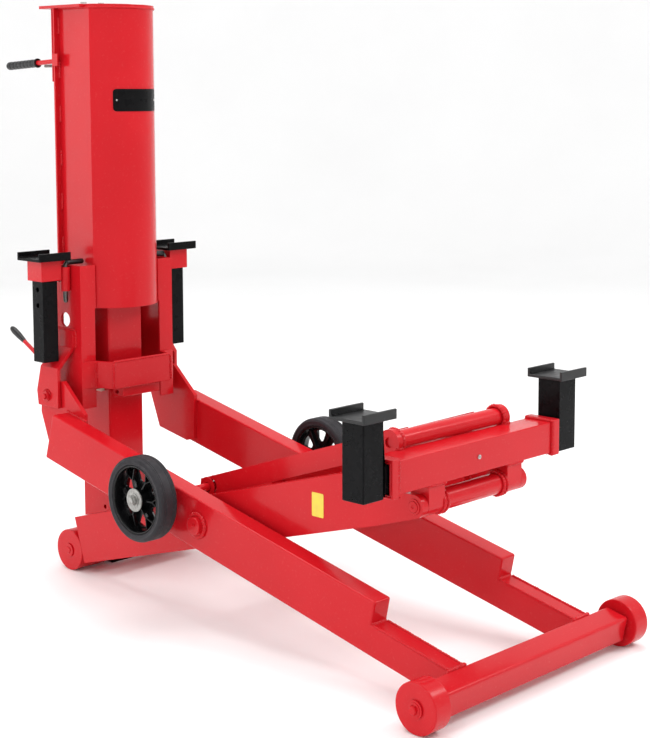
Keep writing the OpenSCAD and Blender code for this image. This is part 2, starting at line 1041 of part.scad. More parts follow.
column_post();
column_foot();
rear_axle();
cylinder_barrel();
air_inlet();
mast_shroud();
mast_back_plate();
mast_top_plate();
side_channels();
crossmember();
latch_block();
ear_plates();
ear_pins();
storage_collars();
guide_pads();
cylinder_rod();
piston();
piston_seal();
top_bolts();
stop_bar();
return_spring();
lever_rod();
lever_grip();
lock_lever();
mirror([1, 0, 0]) main_beam();  // left_beam
main_beam();  // right_beam
front_cross_tube();
frame_lugs();
front_axles();
pivot_shaft();
link_shaft();
wheel_axles();
wheel_nuts();
mirror([1, 0, 0]) lift_arm();  // left_arm
lift_arm();  // right_arm
arm_cross_tube();
axle_lugs();
head_tube();
head_collars();
head_lugs();
head_pins();
set_screw();
link_tube();
link_bars();
mirror([1, 0, 0]) front_roller();  // left_front_roller
front_roller();  // right_front_roller
mirror([1, 0, 0]) rear_roller();  // left_rear_roller
rear_roller();  // right_rear_roller
mirror([1, 0, 0]) tyre();  // left_tyre
mirror([1, 0, 0]) rim();  // left_rim
tyre();  // right_tyre
rim();  // right_rim
mirror([1, 0, 0]) side_arm();  // left_side_arm
side_arm();  // right_side_arm
mirror([1, 0, 0]) front_saddle();  // left_saddle
front_saddle();  // right_saddle
mirror([1, 0, 0]) stored_adapter();  // left_adapter
stored_adapter();  // right_adapter
mirror([1, 0, 0]) parked_pin();  // left_pin
parked_pin();  // right_pin
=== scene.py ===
import json
import math
import random

import bmesh
import bpy
from mathutils import Matrix, Vector


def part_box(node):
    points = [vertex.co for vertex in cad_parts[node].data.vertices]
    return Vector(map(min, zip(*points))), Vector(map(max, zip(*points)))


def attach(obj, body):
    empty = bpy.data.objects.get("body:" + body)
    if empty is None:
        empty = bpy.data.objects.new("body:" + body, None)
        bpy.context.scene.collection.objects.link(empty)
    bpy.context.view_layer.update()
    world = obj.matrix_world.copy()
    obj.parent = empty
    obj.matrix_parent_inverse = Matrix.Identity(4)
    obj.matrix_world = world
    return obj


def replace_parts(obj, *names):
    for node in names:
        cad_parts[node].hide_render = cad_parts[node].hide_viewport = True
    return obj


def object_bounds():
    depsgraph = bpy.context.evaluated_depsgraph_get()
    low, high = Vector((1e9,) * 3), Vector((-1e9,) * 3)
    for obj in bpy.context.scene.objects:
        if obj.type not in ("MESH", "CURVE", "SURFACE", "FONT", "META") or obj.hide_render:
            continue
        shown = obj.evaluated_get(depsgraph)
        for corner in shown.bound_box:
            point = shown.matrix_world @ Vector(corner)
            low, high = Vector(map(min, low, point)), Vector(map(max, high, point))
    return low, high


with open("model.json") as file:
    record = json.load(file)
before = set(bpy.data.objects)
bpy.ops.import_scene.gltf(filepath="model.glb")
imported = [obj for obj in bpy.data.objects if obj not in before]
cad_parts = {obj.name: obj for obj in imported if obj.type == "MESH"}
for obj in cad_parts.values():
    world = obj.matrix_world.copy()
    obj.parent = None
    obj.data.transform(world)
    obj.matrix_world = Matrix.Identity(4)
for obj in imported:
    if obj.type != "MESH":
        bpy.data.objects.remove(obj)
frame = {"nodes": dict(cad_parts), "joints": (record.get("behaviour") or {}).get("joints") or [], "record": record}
cad_low, cad_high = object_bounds()
record = frame["record"]
nodes = frame["nodes"]
joints = {j["name"]: j for j in frame["joints"]}
body_of = {n: b for b, names in record["behaviour"]["bodies"].items() for n in names}
slot_of = {s["node"]: s["material_slot"] for s in record["subparts"]}
dice = random.Random(7)

# ------------------------------------------------------------------ camera

SENSOR = 36.0
CAMERA_YAW = 0.8201
CAMERA_PITCH = 0.1112


def make_camera():
    """A long lens at chest height, to the left of the lifting head."""
    data = bpy.data.cameras.new("camera")
    data.sensor_width = SENSOR
    data.lens = 77.25
    data.shift_x = -0.054
    data.shift_y = -0.1355
    data.clip_end = 200
    camera = bpy.data.objects.new("camera", data)
    bpy.context.scene.collection.objects.link(camera)
    camera.location = (-3.2693, -4.2151, 1.5654)
    level = math.cos(CAMERA_PITCH)
    ahead = Vector((math.sin(CAMERA_YAW) * level, math.cos(CAMERA_YAW) * level, -math.sin(CAMERA_PITCH)))
    camera.rotation_euler = ahead.to_track_quat("-Z", "Y").to_euler()
    bpy.context.scene.camera = camera


make_camera()
bpy.context.scene.view_settings.view_transform = "Standard"

# ------------------------------------------------------------------ materials


class Nodes:
    """Short names for building one material's nodes."""

    def __init__(self, name):
        self.material = bpy.data.materials.new(name)
        self.material.use_nodes = True
        self.tree = self.material.node_tree
        self.shader = self.tree.nodes["Principled BSDF"]
        self.place = self.add("ShaderNodeTexCoord").outputs["Object"]

    def add(self, kind, **values):
        node = self.tree.nodes.new(kind)
        for key, value in values.items():
            setattr(node, key, value)
        return node

    def link(self, source, target):
        self.tree.links.new(source, target)

    def set(self, **values):
        for key, value in values.items():
            self.shader.inputs[key.replace("_", " ")].default_value = value

    def noise(self, scale, detail=3.0, stretch=None):
        node = self.add("ShaderNodeTexNoise")
        node.inputs["Scale"].default_value = scale
        node.inputs["Detail"].default_value = detail
        source = self.place
        if stretch:
            mapping = self.add("ShaderNodeMapping")
            mapping.inputs["Scale"].default_value = stretch
            self.link(self.place, mapping.inputs["Vector"])
            source = mapping.outputs["Vector"]
        self.link(source, node.inputs["Vector"])
        return node.outputs["Fac"]

    def ramp(self, source, low, high, start=0.0, end=1.0):
        """Maps source from low..high onto start..end, clamped."""
        node = self.add("ShaderNodeMapRange")
        node.clamp = True
        node.inputs["From Min"].default_value = low
        node.inputs["From Max"].default_value = high
        node.inputs["To Min"].default_value = start
        node.inputs["To Max"].default_value = end
        self.link(source, node.inputs["Value"])
        return node.outputs["Result"]

    def mix(self, factor, a, b):
        """Colour a where factor is 0, b where it is 1. Either may be a socket."""
        node = self.add("ShaderNodeMix", data_type="RGBA")
        self.link(factor, node.inputs["Factor"])
        sockets = [s for s in node.inputs if s.type == "RGBA"]
        for socket, colour in zip(sockets, (a, b)):
            if isinstance(colour, tuple):
                socket.default_value = (*colour, 1)
            else:
                self.link(colour, socket)
        return [s for s in node.outputs if s.type == "RGBA"][0]

    def colour(self, source):
        self.link(source, self.shader.inputs["Base Color"])

    def roughness(self, source):
        self.link(source, self.shader.inputs["Roughness"])

    def bump(self, source, height, strength=1.0):
        node = self.add("ShaderNodeBump")
        node.inputs["Strength"].default_value = strength
        node.inputs["Distance"].default_value = height
        self.link(source, node.inputs["Height"])
        self.link(node.outputs["Normal"], self.shader.inputs["Normal"])


def red_paint():
    m = Nodes("red_paint")
    m.set(IOR=1.27, Coat_Weight=0.2, Coat_Roughness=0.06, Coat_IOR=1.25)
    patches = m.ramp(m.noise(2.2, 4), 0.3, 0.7)
    base = m.mix(patches, (0.500, 0.0058, 0.0110), (0.570, 0.0085, 0.0150))
    dust = m.ramp(m.noise(130, 6), 0.60, 0.72, 0.0, 0.10)
    m.colour(m.mix(dust, base, (0.70, 0.16, 0.14)))
    m.roughness(m.ramp(m.noise(26, 4), 0.3, 0.7, 0.17, 0.27))
    m.bump(m.noise(190, 2), 0.00016, 0.3)
    return m.material


def black_paint(name="black_paint", rough=(0.22, 0.38), ior=1.17):
    m = Nodes(name)
    m.set(IOR=ior)
    patches = m.ramp(m.noise(7, 4), 0.3, 0.7)
    base = m.mix(patches, (0.0020, 0.0020, 0.0024), (0.0044, 0.0044, 0.0050))
    scuffs = m.ramp(m.noise(85, 6), 0.62, 0.74, 0.0, 0.35)
    m.colour(m.mix(scuffs, base, (0.022, 0.021, 0.020)))
    m.roughness(m.ramp(m.noise(31, 4), 0.3, 0.7, *rough))
    m.bump(m.noise(240, 2), 0.00016, 0.35)
    return m.material


def bare_steel(name="bare_steel", dark=(0.42, 0.42, 0.41), light=(0.60, 0.60, 0.58)):
    m = Nodes(name)
    m.set(Metallic=1.0)
    turned = m.ramp(m.noise(60, 3, stretch=(1.0, 9.0, 9.0)), 0.3, 0.7)
    base = m.mix(turned, dark, light)
    stain = m.ramp(m.noise(45, 6), 0.60, 0.78, 0.0, 0.5)
    m.colour(m.mix(stain, base, (0.20, 0.16, 0.12)))
    m.roughness(m.ramp(m.noise(90, 3), 0.3, 0.7, 0.26, 0.44))
    m.bump(m.noise(420, 2), 0.0001, 0.35)
    return m.material


def zinc_steel():
    """Dulled zinc plating on the wheel's washer and nut."""
    m = Nodes("zinc_steel")
    m.set(Metallic=0.75)
    spangle = m.ramp(m.noise(120, 4), 0.35, 0.65)
    m.colour(m.mix(spangle, (0.24, 0.235, 0.22), (0.36, 0.355, 0.34)))
    m.roughness(m.ramp(m.noise(70, 3), 0.3, 0.7, 0.34, 0.52))
    m.bump(m.noise(300, 2), 0.00012, 0.4)
    return m.material


def tyre_rubber():
    m = Nodes("tyre_rubber")
    m.set(IOR=1.32)
    bloom = m.ramp(m.noise(14, 6), 0.35, 0.75)
    base = m.mix(bloom, (0.016, 0.015, 0.018), (0.030, 0.028, 0.032))
    rubbed = m.ramp(m.noise(70, 6), 0.58, 0.74, 0.0, 0.4)
    m.colour(m.mix(rubbed, base, (0.060, 0.056, 0.058)))
    m.roughness(m.ramp(m.noise(60, 4), 0.3, 0.7, 0.48, 0.68))
    m.bump(m.noise(330, 4), 0.0004, 0.45)
    return m.material


def grip_vinyl():
    m = Nodes("grip_vinyl")
    m.set(IOR=1.4)
    fade = m.ramp(m.noise(40, 5), 0.35, 0.7)
    m.colour(m.mix(fade, (0.007, 0.007, 0.008), (0.019, 0.018, 0.018)))
    m.roughness(m.ramp(m.noise(110, 3), 0.3, 0.7, 0.26, 0.45))
    m.bump(m.noise(520, 3), 0.0002, 0.5)
    return m.material


def nylon():
    m = Nodes("nylon")
    m.set(Subsurface_Weight=0.1, Subsurface_Scale=0.003)
    m.colour(m.mix(m.ramp(m.noise(35, 5), 0.3, 0.7), (0.60, 0.56, 0.44), (0.74, 0.70, 0.60)))
    m.roughness(m.ramp(m.noise(80, 3), 0.3, 0.7, 0.45, 0.62))
    m.bump(m.noise(240, 3), 0.0002, 0.4)
    return m.material


def label_film():
    m = Nodes("label_film")
    m.set(Coat_Weight=0.3, Coat_Roughness=0.2)
    m.colour(m.mix(m.ramp(m.noise(50, 5), 0.35, 0.75), (0.80, 0.62, 0.03), (0.70, 0.52, 0.05)))
    m.roughness(m.ramp(m.noise(90, 3), 0.3, 0.7, 0.30, 0.45))
    m.bump(m.noise(160, 2), 0.0001, 0.3)
    return m.material


def floor_paint():
    m = Nodes("floor_paint")
    m.colour(m.mix(m.ramp(m.noise(0.8, 5), 0.3, 0.7), (0.93, 0.93, 0.93), (0.96, 0.96, 0.96)))
    m.roughness(m.ramp(m.noise(4, 4), 0.3, 0.7, 0.55, 0.70))
    m.bump(m.noise(60, 3), 0.0003, 0.2)
    return m.material


RED = red_paint()
BLACK = black_paint()
PAD = black_paint("pad_black", (0.30, 0.46), 1.45)
RIM = black_paint("rim_black", (0.14, 0.26), 1.3)
STEEL = bare_steel()
DARK_STEEL = bare_steel("dark_steel", (0.07, 0.07, 0.07), (0.16, 0.16, 0.15))
ZINC = zinc_steel()
TYRE = tyre_rubber()
GRIP = grip_vinyl()
NYLON = nylon()
LABEL = label_film()
# The foot_black slot gives the column foot black paint: painted shade standing for the unlit bottom of the column
# between the arms.
by_slot = {"red_paint": RED, "black_paint": BLACK, "rim_black": RIM, "bare_steel": STEEL, "tyre": TYRE,
           "grip": GRIP, "nylon": NYLON, "foot_black": BLACK, "seal_rubber": GRIP}

# ------------------------------------------------------------------ mesh helpers

SHARP = math.radians(35)
CRISP = math.radians(20)
FLAT = math.radians(0.5)
EDGE_STEPS = 3
LONG_EDGE = 0.012


def finish_mesh(bm, name, material, body, slot=None):
    """Turns a bmesh into a smooth-shaded piece that rides on a body."""
    bmesh.ops.recalc_face_normals(bm, faces=bm.faces)
    for face in bm.faces:
        face.smooth = True
    for edge in bm.edges:
        edge.smooth = not (edge.is_manifold and edge.calc_face_angle(0.0) > SHARP)
    mesh = bpy.data.meshes.new(name)
    bm.to_mesh(mesh)
    bm.free()
    mesh.materials.append(material)
    piece = bpy.data.objects.new(name, mesh)
    bpy.context.scene.collection.objects.link(piece)
    normals = piece.modifiers.new("normals", "WEIGHTED_NORMAL")
    normals.keep_sharp = True
    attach(piece, body)
    return piece


def islands(bm):
    """The connected groups of vertices."""
    left = set(bm.verts)
    while left:
        group = {left.pop()}
        edge_of = list(group)
        while edge_of:
            vert = edge_of.pop()
            for edge in vert.link_edges:
                other = edge.other_vert(vert)
                if other not in group:
                    group.add(other)
                    edge_of.append(other)
        left -= group
        yield group


def drop_sealed_cavities(bm):
    """Removes the inner skin of a closed hollow section, which nothing can see."""
    spans = []
    for group in islands(bm):
        low = [min(v.co[k] for v in group) for k in range(3)]
        high = [max(v.co[k] for v in group) for k in range(3)]
        spans.append((group, low, high))
    for group, low, high in spans:
        inside = any(
            all(other_low[k] < low[k] and high[k] < other_high[k] for k in range(3))
            for other, other_low, other_high in spans if other is not group)
        if inside:
            bmesh.ops.delete(bm, geom=list(group), context="VERTS")


def rounded_node(node, width, short=LONG_EDGE, sealed=False, material=None):
    """Stands for a CAD node with its long edges rounded, as folded or ground steel is."""
    bm = bmesh.new()
    bm.from_mesh(nodes[node].data)
    bmesh.ops.remove_doubles(bm, verts=bm.verts, dist=1e-5)
    if sealed:
        drop_sealed_cavities(bm)
    bmesh.ops.dissolve_limit(bm, angle_limit=FLAT, verts=bm.verts, edges=bm.edges)
    crisp = [e for e in bm.edges
             if e.is_manifold and e.calc_length() > short and e.calc_face_angle(0.0) > CRISP]
    bmesh.ops.bevel(bm, geom=crisp, offset=width, segments=EDGE_STEPS, profile=0.5, affect="EDGES",
                    clamp_overlap=True)
    bmesh.ops.triangulate(bm, faces=[f for f in bm.faces if len(f.verts) > 4])
    slot = slot_of[node]
    piece = finish_mesh(bm, node + "_finished", material or by_slot[slot], body_of[node], slot)
    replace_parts(piece, node)
    return piece


def rounded(points, radius, steps=4):
    """A closed outline with each corner rounded."""
    result = []
    count = len(points)
    for i, corner in enumerate(points):
        here = Vector(corner)
        before = Vector(points[i - 1]) - here
        after = Vector(points[(i + 1) % count]) - here
        reach_in = min(radius, before.length / 2)
        reach_out = min(radius, after.length / 2)
        start = here + before.normalized() * reach_in
        end = here + after.normalized() * reach_out
        for k in range(steps + 1):
            t = k / steps
            result.append(start * (1 - t) ** 2 + here * 2 * t * (1 - t) + end * t * t)
    return result


def revolve(bm, outline, place, steps=96):
    """Turns a closed outline of (radius, height) about local Z and adds it to bm."""
    rings = []
    for k in range(steps):
        angle = 2 * math.pi * k / steps
        across = Vector((math.cos(angle), math.sin(angle)))
        rings.append([bm.verts.new(place @ Vector((across.x * p[0], across.y * p[0], p[1])))
                      for p in outline])
    for k in range(steps):
        here, there = rings[k], rings[(k + 1) % steps]
        for i in range(len(outline)):
            j = (i + 1) % len(outline)
            bm.faces.new((here[i], here[j], there[j], there[i]))


def lathe(name, outline, place, material, body, slot=None, steps=96):
    """One turned piece."""
    bm = bmesh.new()
    revolve(bm, outline, place, steps)
    bmesh.ops.remove_doubles(bm, verts=bm.verts, dist=1e-6)
    return finish_mesh(bm, name, material, body, slot)


def hex_head(bm, place, radius, height, collar=0.0):
    """A chamfered hexagon head, with a round collar under it."""
    tip = 0.0004
    if collar:
        disc = [(tip, 0), (collar, 0), (collar, 0.002), (tip, 0.0035)]
        revolve(bm, rounded(disc, 0.0008, 2), place, 40)
    base = 0.003 if collar else 0.0
    profile = [(tip, base), (radius, base), (radius, base + height * 0.72), (radius * 0.84, base + height),
               (tip, base + height)]
    revolve(bm, profile, place, 6)


def sweep(bm, points, radius, sides=10, closed=False, radii=None):
    """A round bar along points, added to bm."""
    count = len(points)
    rings = []
    side = None
    for i, point in enumerate(points):
        before = points[i - 1] if (i or closed) else point
        after = points[(i + 1) % count] if (i < count - 1 or closed) else point
        ahead = (after - before).normalized()
        if side is None:
            side = ahead.orthogonal().normalized()
        side = (side - ahead * side.dot(ahead)).normalized()
        over = ahead.cross(side)
        r = radii[i] if radii else radius
        rings.append([bm.verts.new(point + (side * math.cos(a) + over * math.sin(a)) * r)
                      for a in (2 * math.pi * k / sides for k in range(sides))])
    last = count if closed else count - 1
    for i in range(last):
        here, there = rings[i], rings[(i + 1) % count]
        for k in range(sides):
            n = (k + 1) % sides
            bm.faces.new((here[k], here[n], there[n], there[k]))
    if not closed:
        bm.faces.new(rings[0])
        bm.faces.new(rings[-1])


def axis_frame(origin, ahead):
    """A matrix that takes local Z to ahead, at origin."""
    return Matrix.Translation(origin) @ Vector(ahead).to_track_quat("Z", "Y").to_matrix().to_4x4()


# ------------------------------------------------------------------ places, all from the frame

pivot = Vector(joints["scissor"]["pos_m"])
head_pin = Vector(joints["head_pivot"]["pos_m"])
link_pin = Vector(joints["link_pivot"]["pos_m"])
ear_pin = Vector(joints["mast_pivot"]["pos_m"])
front_axle = Vector(joints["left_front_roll"]["pos_m"])
ARM_SLOPE = math.radians(16)
AXLE_DROP = 0.027
FRONT_REACH = math.hypot(front_axle.y - pivot.y, front_axle.z - pivot.z)
FRAME_SLOPE = math.atan2(pivot.z - front_axle.z, pivot.y - front_axle.y) - math.asin(AXLE_DROP / FRONT_REACH)


def centre(node):
    low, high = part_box(node)
    return (low + high) / 2


def on_frame(x, u, v):
    """A place on the main frame: u back from the scissor pivot, v square to the beam."""
    c, s = math.cos(FRAME_SLOPE), math.sin(FRAME_SLOPE)
    return Vector((x, pivot.y + u * c - v * s, pivot.z + u * s + v * c))


def on_arms(x, u, v):
    """A place on the lift arms: u back from the scissor pivot, v square to the arm."""
    c, s = math.cos(ARM_SLOPE), math.sin(ARM_SLOPE)
    return Vector((x, pivot.y + u * c + v * s, pivot.z - u * s + v * c))


# ------------------------------------------------------------------ CAD nodes with rounded edges

THIN = 0.0017
SMALL_EDGE = 0.004
SEALED = {"left_beam", "right_beam", "left_arm", "right_arm", "front_cross_tube", "arm_cross_tube"}
EDGE = {
    "front_cross_tube": 0.009, "left_beam": 0.006, "right_beam": 0.006, "left_arm": 0.006, "right_arm": 0.006,
    "link_bars": 0.005, "head_tube": 0.006, "head_collars": 0.003, "head_lugs": 0.003,
    "left_side_arm": 0.004, "right_side_arm": 0.004, "left_saddle": 0.0015, "right_saddle": 0.0015,
    "left_adapter": 0.0015, "right_adapter": 0.0015, "column_post": 0.006, "column_foot": 0.003,
    "mast_shroud": 0.0012, "mast_back_plate": 0.002, "mast_top_plate": 0.002, "side_channels": 0.003,
    "crossmember": 0.0025, "latch_block": 0.003, "ear_plates": 0.0025, "storage_collars": 0.0025,
    "frame_lugs": 0.0025, "arm_cross_tube": 0.005, "axle_lugs": 0.002, "stop_bar": 0.0015,
    "top_bolts": 0.0008, "guide_pads": 0.002,
}
for node, width in EDGE.items():
    rounded_node(node, width, sealed=node in SEALED, short=SMALL_EDGE if width < THIN else LONG_EDGE,
                 material=PAD if node.endswith("_saddle") else None)

# ------------------------------------------------------------------ rollers, shafts and wheels


def turned(node, corner):
    """Stands for a plain round node along X, turned with rounded corners."""
    low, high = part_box(node)
    mid = (low + high) / 2
    radius = (high.z - low.z) / 2
    length = high.x - low.x
    bore = 0.0162
    outline = [(bore, 0), (radius, 0), (radius, length), (bore, length)]
    place = axis_frame((low.x, mid.y, mid.z), (1, 0, 0))
    piece = lathe(node + "_turned", rounded(outline, corner), place, RED, body_of[node], slot_of[node])
    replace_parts(piece, node)


for side in ("left", "right"):
    turned(side + "_front_roller", 0.004)
    turned(side + "_rear_roller", 0.004)


SPINDLE = 0.0124


def tyre(side):
    """Solid rubber tyre with rounded shoulders, fine grooves and a raised ring on each wall."""
    node = side + "_tyre"
    low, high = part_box(node)
    mid = (low + high) / 2
    radius = (high.z - low.z) / 2
    width = high.x - low.x
    bead_r = radius - 0.024
    half = [(bead_r, 0.004), (bead_r + 0.003, 0.0015), (bead_r + 0.006, 0.0025), (radius - 0.010, 0.0),
            (radius - 0.003, 0.004), (radius, 0.011)]
    for groove in (0.0135, 0.0195):
        half += [(radius, groove - 0.0008), (radius - 0.002, groove), (radius, groove + 0.0008)]
    outline = half + [(r, width - z) for r, z in reversed(half)]
    place = axis_frame((low.x, mid.y, mid.z), (1, 0, 0))
    piece = lathe(node + "_moulded", rounded(outline, 0.0016, 2), place, TYRE, body_of[node], "tyre", 144)
    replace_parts(piece, node)


for side in ("left", "right"):
    tyre(side)


def outward(node, sign):
    """Local Z points away from the centreline, from the node's inner face."""
    low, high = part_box(node)
    mid = (low + high) / 2
    return axis_frame((low.x if sign > 0 else high.x, mid.y, mid.z), (sign, 0, 0)), high.x - low.x


def polar(r, degrees):
    return Vector((r * math.cos(math.radians(degrees)), r * math.sin(math.radians(degrees))))


def plate_with_holes(bm, outline, holes, place, low, high):
    """A flat plate between two heights, cut by closed loops."""
    made = bmesh.new()
    for loop in [outline] + holes:
        verts = [made.verts.new((q[0], q[1], low)) for q in loop]
        for a, b in zip(verts, verts[1:] + verts[:1]):
            made.edges.new((a, b))
    bmesh.ops.triangle_fill(made, use_beauty=True, edges=made.edges)
    lifted = bmesh.ops.extrude_face_region(made, geom=made.faces[:])
    top = [v for v in lifted["geom"] if isinstance(v, bmesh.types.BMVert)]
    bmesh.ops.translate(made, verts=top, vec=(0, 0, high - low))
    join(bm, made, place)


def join(bm, made, place):
    """Moves made's geometry into bm."""
    copies = {v: bm.verts.new(place @ v.co) for v in made.verts}
    for face in made.faces:
        bm.faces.new([copies[v] for v in face.verts])
    made.free()


def rib(bm, start, end, base, crest, low, high_start, high_end, place):
    """A cast rib that is narrower at its crest."""
    run = end - start
    side = Vector((-run.y, run.x)).normalized()
    corners = []
    for point, high in ((start, high_start), (end, high_end)):
        corners.append([bm.verts.new(place @ Vector((*(point + side * w), z)))
                        for w, z in ((-base, low), (base, low), (crest, high), (-crest, high))])
    first, last = corners
    for k in range(4):
        n = (k + 1) % 4
        bm.faces.new((first[k], first[n], last[n], last[k]))
    bm.faces.new(first)
    bm.faces.new(last)


def rim(side, sign):
    """Cast wheel centre: deep dish, six windows and forked ribs."""
    node = side + "_rim"
    place, width = outward(side + "_tyre", sign)
    felloe = 0.1028
    web_low, web_high = 0.024, 0.030
    bm = bmesh.new()
    ring = [(felloe, 0.005), (felloe, width - 0.005), (0.0995, width - 0.0035), (0.0965, width - 0.0045),
            (0.0935, width - 0.014), (0.0900, web_high + 0.004), (0.0870, web_high), (0.0870, web_low),
            (0.0900, web_low - 0.004), (0.0950, 0.0055), (0.0985, 0.004)]
    revolve(bm, rounded(ring, 0.0015, 2), place, 120)
    hub = [(SPINDLE, 0.007), (0.026, 0.007), (0.030, 0.014), (0.034, web_low), (0.034, web_high),
           (0.0305, 0.044), (0.0290, width - 0.0100), (0.0255, width - 0.0075), (SPINDLE, width - 0.0075)]
    revolve(bm, rounded(hub, 0.0018, 2), place, 72)
    circle = [polar(0.0885, 360 * k / 120) for k in range(120)]
    bore = [polar(0.032, -360 * k / 60) for k in range(60)]
    windows = []
    for k in range(6):
        mid = 60 * k + 30
        corners = [polar(0.049, mid - 9), polar(0.084, mid - 15), polar(0.0865, mid), polar(0.084, mid + 15),
                   polar(0.049, mid + 9)]
        windows.append(rounded(corners, 0.007, 4))
    plate_with_holes(bm, circle, [bore] + windows, place, web_low, web_high)
    for k in range(6):
        mid = 60 * k
        fork = polar(0.060, mid)
        rib(bm, polar(0.028, mid), fork, 0.0042, 0.0026, web_high - 0.001, 0.052, 0.046, place)
        for turn in (-13, 13):
            rib(bm, polar(0.0585, mid), polar(0.0905, mid + turn), 0.0034, 0.0020, web_high - 0.001,
                0.046, 0.041, place)
        rib(bm, polar(0.028, mid), polar(0.0905, mid), 0.0042, 0.0026, web_low + 0.001, 0.014, 0.017, place)
    piece = finish_mesh(bm, node + "_cast", RIM, body_of[node], slot_of[node])
    bevel = piece.modifiers.new("edges", "BEVEL")
    bevel.width = 0.0008
    bevel.segments = 2
    bevel.limit_method = "ANGLE"
    bevel.angle_limit = SHARP
    piece.modifiers.move(1, 0)
    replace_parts(piece, node)


def wheel_nuts():
    """Thick washer, hexagon nut and the spindle's threaded end, on both wheels."""
    bm = bmesh.new()
    for side, sign in (("left", -1), ("right", 1)):
        place, width = outward(side + "_tyre", sign)
        at = place @ Matrix.Translation((0, 0, width - 0.006))
        washer = [(SPINDLE, 0), (0.0345, 0), (0.0345, 0.0038), (SPINDLE, 0.0038)]
        revolve(bm, rounded(washer, 0.0011, 2), at, 72)
        inner = [(SPINDLE, 0.003), (0.0205, 0.003), (0.0205, 0.0062), (SPINDLE, 0.0062)]
        revolve(bm, rounded(inner, 0.0008, 2), at, 48)
        hex_head(bm, at @ Matrix.Translation((0, 0, 0.006)), 0.0158, 0.0078)
        thread = [(0.0004, 0.010), (0.0105, 0.010)]
        for k in range(4):
            z = 0.0135 + 0.0012 * k
            thread += [(0.0112, z), (0.0102, z + 0.0006)]
        thread += [(0.0085, 0.0188), (0.0004, 0.0188)]
        revolve(bm, thread, at, 40)
    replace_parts(finish_mesh(bm, "wheel_fasteners", ZINC, body_of["wheel_nuts"], "bare_steel"), "wheel_nuts")


for side, sign in (("left", -1), ("right", 1)):
    rim(side, sign)
wheel_nuts()


def pin_heads():
    """Hexagon heads and caps on the axle and pivot ends, painted with the frame."""
    def heads(body, places):
        bm = bmesh.new()
        for at, radius, height, collar in places:
            for sign in (-1, 1):
                hex_head(bm, axis_frame((sign * at.x, at.y, at.z), (sign, 0, 0)), radius, height, collar)
        finish_mesh(bm, "heads_" + body, RED, body, "red_paint")

    def end(node):
        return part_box(node)[1].x

    inset = 0.0075
    front = Vector((end("front_axles") - inset, front_axle.y, front_axle.z))
    heads("main_frame", [(front, 0.0125, 0.0075, 0.019)])
    rear = Vector(joints["left_rear_roll"]["pos_m"])
    heads("column", [(Vector((end("rear_axle") - inset, rear.y, rear.z)), 0.0125, 0.0072, 0.018)])
    heads("mast", [(Vector((end("ear_pins"), ear_pin.y, ear_pin.z)), 0.0105, 0.007, 0.0145)])
    bm = bmesh.new()
    for sign in (-1, 1):
        boss = [(0.0004, 0), (0.0265, 0), (0.0265, 0.012), (0.0004, 0.012)]
        place = axis_frame((sign * (end("pivot_shaft") - 0.003), pivot.y, pivot.z), (sign, 0, 0))
        revolve(bm, rounded(boss, 0.003, 3), place, 64)
        nipple = [(0.0003, 0.011), (0.0045, 0.011), (0.0045, 0.015), (0.0022, 0.0155), (0.0024, 0.0195),
                  (0.0003, 0.021)]
        revolve(bm, nipple, place @ Matrix.Translation((0.006, 0.004, 0)), 16)
    finish_mesh(bm, "pivot_caps", RED, "main_frame", "red_paint")
    bm = bmesh.new()
    for sign in (-1, 1):
        place = axis_frame((sign * (end("right_arm")), head_pin.y, head_pin.z), (sign, 0, 0))
        ring = [(0.0162, 0), (0.0215, 0), (0.0215, 0.003), (0.0162, 0.003)]
        revolve(bm, rounded(ring, 0.001, 2), place, 56)
        cap = [(0.0004, 0.001), (0.0160, 0.001), (0.0150, 0.0045), (0.0050, 0.0048), (0.0036, 0.0030),
               (0.0004, 0.0030)]
        revolve(bm, rounded(cap, 0.0008, 2), place, 48)
    finish_mesh(bm, "head_pin_ends", RED, "lift_arms", "red_paint")
    bm = bmesh.new()
    shaft = (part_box("link_shaft")[0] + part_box("link_shaft")[1]) / 2
    inner_gap, outer_gap, thick = 0.124, 0.1525, 0.0035
    for sign in (-1, 1):
        for x in (inner_gap, outer_gap):
            disc = [(0.0142, 0), (0.0310, 0), (0.0310, thick), (0.0142, thick)]
            revolve(bm, rounded(disc, 0.001, 2), axis_frame((sign * x, shaft.y, shaft.z), (sign, 0, 0)), 56)
    finish_mesh(bm, "link_washers", RED, "main_frame", "red_paint")


pin_heads()

# ------------------------------------------------------------------ levers, pins and spring


def grip(name, origin, ahead, start, end, radius, body, rings=0):
    """Moulded grip with a collar, a rounded end and fine rings, along a lever."""
    outline = [(radius * 0.55, start), (radius * 1.12, start), (radius * 1.12, start + 0.006),
               (radius * 0.94, start + 0.010)]
    for k in range(rings):
        z = start + 0.022 + k * (end - start - 0.05) / max(rings - 1, 1)
        outline += [(radius * 0.98, z - 0.004), (radius * 0.90, z - 0.0025), (radius * 0.90, z + 0.0025),
                    (radius * 0.98, z + 0.004)]
    outline += [(radius, end - 0.020), (radius * 0.96, end - 0.006), (radius * 0.70, end),
                (0.0004, end + 0.001), (0.0004, end - 0.010), (radius * 0.55, end - 0.012)]
    lathe(name, rounded(outline, 0.0016, 2), axis_frame(origin, ahead), GRIP, body, "grip", 48)


def lever_direction(tilt):
    return Vector((0, math.sin(tilt), math.cos(tilt)))


def control_lever():
    root = Vector(joints["control_lever"]["pos_m"])
    ahead = lever_direction(math.radians(93))
    end = (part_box("lever_grip")[1].y - root.y) / ahead.y
    grip("control_grip", root, ahead, 0.116, end, 0.014, "control_lever", rings=7)
    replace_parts(bpy.data.objects["control_grip"], "lever_grip")


